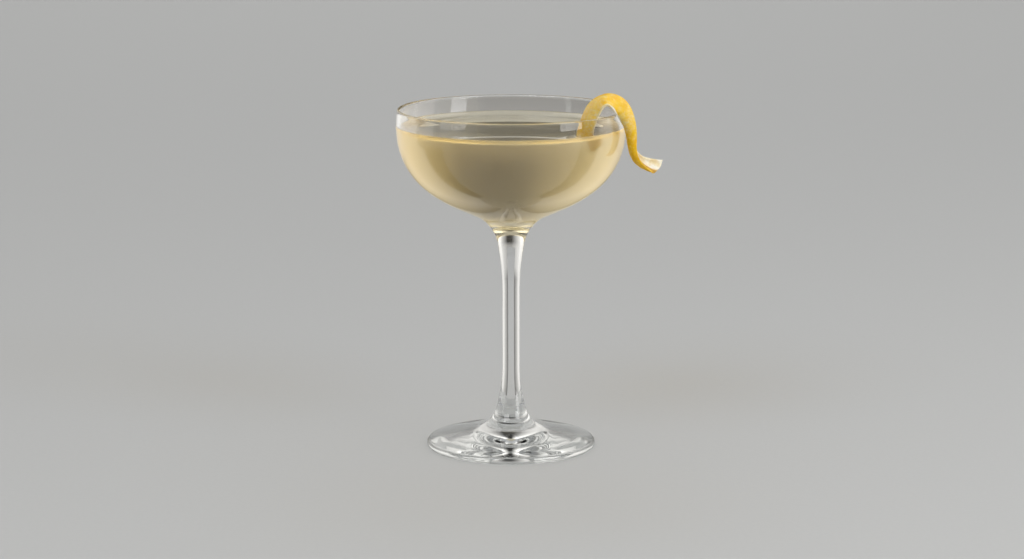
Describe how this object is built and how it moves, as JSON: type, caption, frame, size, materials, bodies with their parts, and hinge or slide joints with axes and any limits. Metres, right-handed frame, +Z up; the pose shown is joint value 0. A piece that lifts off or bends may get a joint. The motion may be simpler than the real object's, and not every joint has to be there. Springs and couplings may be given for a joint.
{
  "type": "cocktail in a coupe glass",
  "caption": "Stemmed coupe glass holding a pale straw cocktail, with a curled strip of lemon peel hooked over its rim.",
  "frame": {"origin": "on the glass's axis, in the plane that its foot rests on", "axes": "+Z up along the glass's axis; -Y is the front; the peel hangs at the +X side, a little towards the front"},
  "size_m": [0.1111, 0.096, 0.1528],
  "materials": {
    "glass": "clear, fire-polished crystal",
    "drink": "pale straw, faintly hazed liquid",
    "peel": "waxy, finely pored lemon zest over white pith"
  },
  "bodies": {
    "root": {"glass": "glass", "drink": "drink", "lemon_twist": "peel"}
  },
  "joints": []
}
